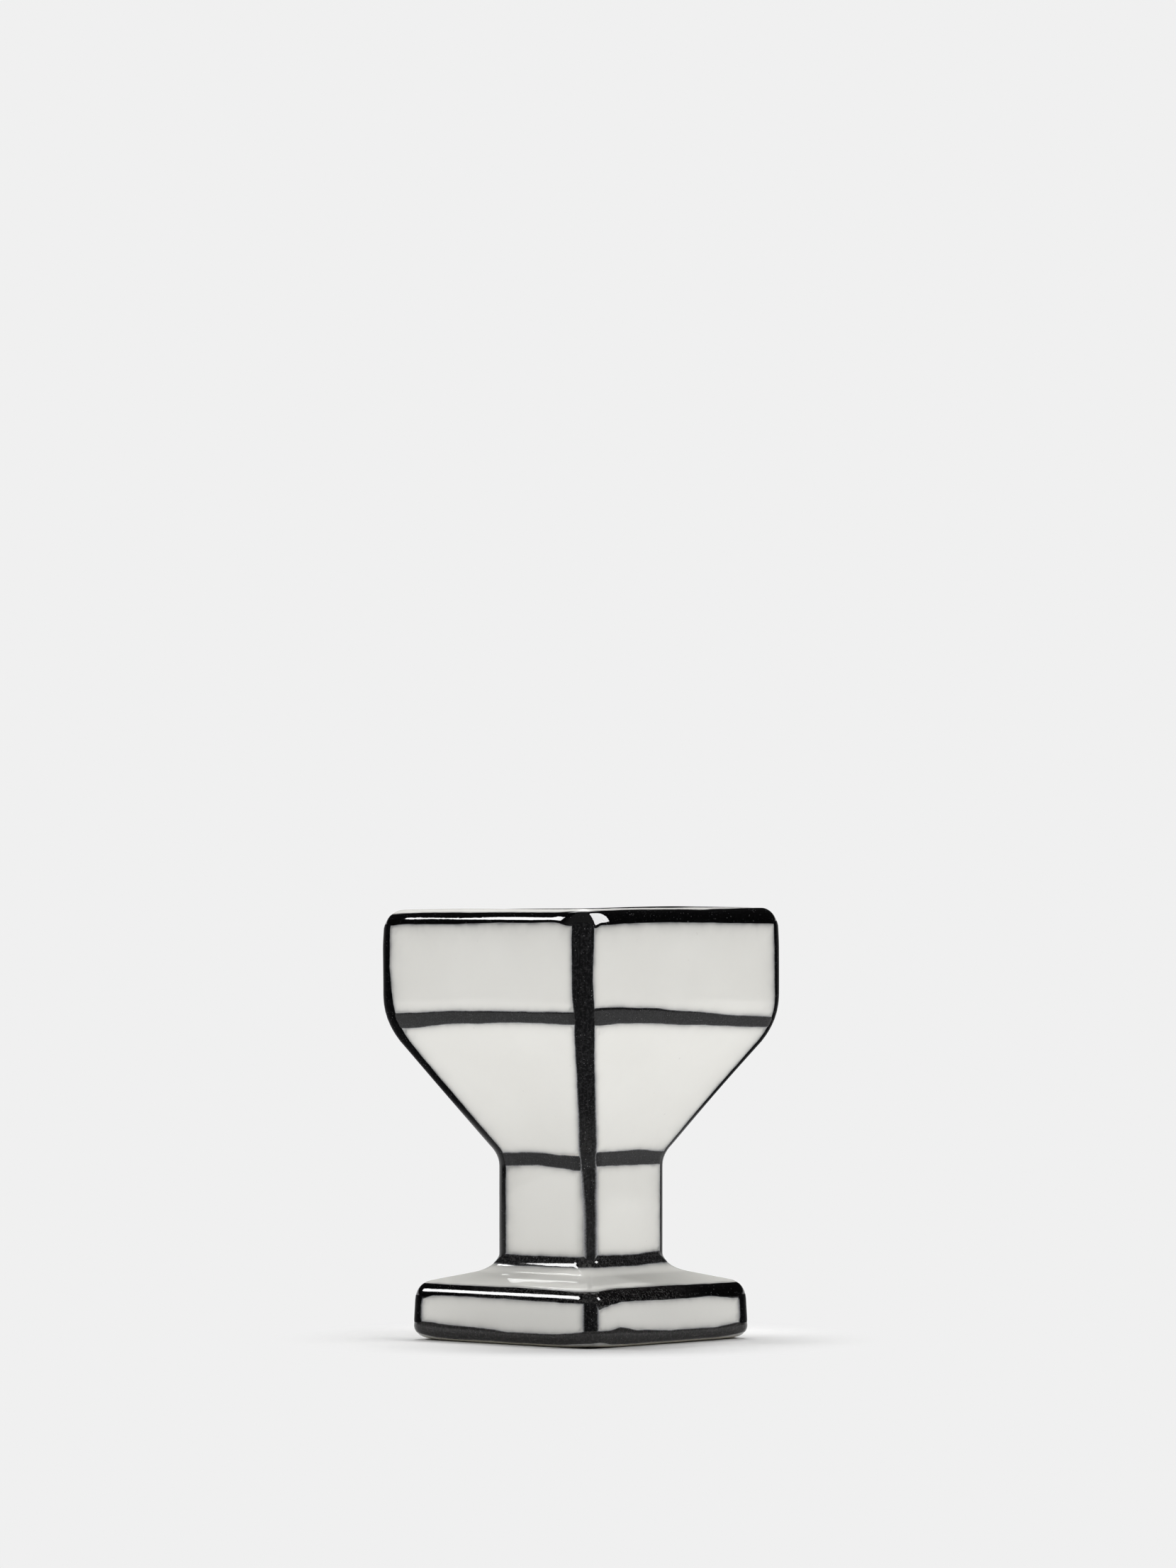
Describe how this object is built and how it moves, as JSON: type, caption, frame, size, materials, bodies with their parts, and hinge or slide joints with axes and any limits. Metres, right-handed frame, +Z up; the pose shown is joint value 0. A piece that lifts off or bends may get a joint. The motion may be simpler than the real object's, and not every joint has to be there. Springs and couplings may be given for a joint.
{
  "type": "egg cup",
  "caption": "Square egg cup: a bowl with an open egg well slants in to a narrow hollow stem on a spreading square foot, with black glaze lines along its edges.",
  "frame": {"origin": "middle of the footprint, on the table under the foot ring", "axes": "+Z up, +X and +Y square to the flat sides; the corner at +X -Y faces the picture's camera"},
  "size_m": [0.0504, 0.0504, 0.074],
  "materials": {
    "white_glaze": "gloss",
    "fired_slip": "matte",
    "black_glaze": "gloss"
  },
  "bodies": {
    "root": {"bowl": "white_glaze", "stem": "white_glaze", "foot": "white_glaze", "slip_seam_upper": "fired_slip", "slip_seam_lower": "fired_slip", "rim_line": "black_glaze", "shoulder_line": "black_glaze", "neck_line": "black_glaze", "stem_base_line": "black_glaze", "foot_top_line": "black_glaze", "foot_base_line": "black_glaze", "corner_line_front": "black_glaze", "corner_line_right": "black_glaze", "corner_line_back": "black_glaze", "corner_line_left": "black_glaze", "foot_corner_line_front": "black_glaze", "foot_corner_line_right": "black_glaze", "foot_corner_line_back": "black_glaze", "foot_corner_line_left": "black_glaze"}
  },
  "joints": []
}
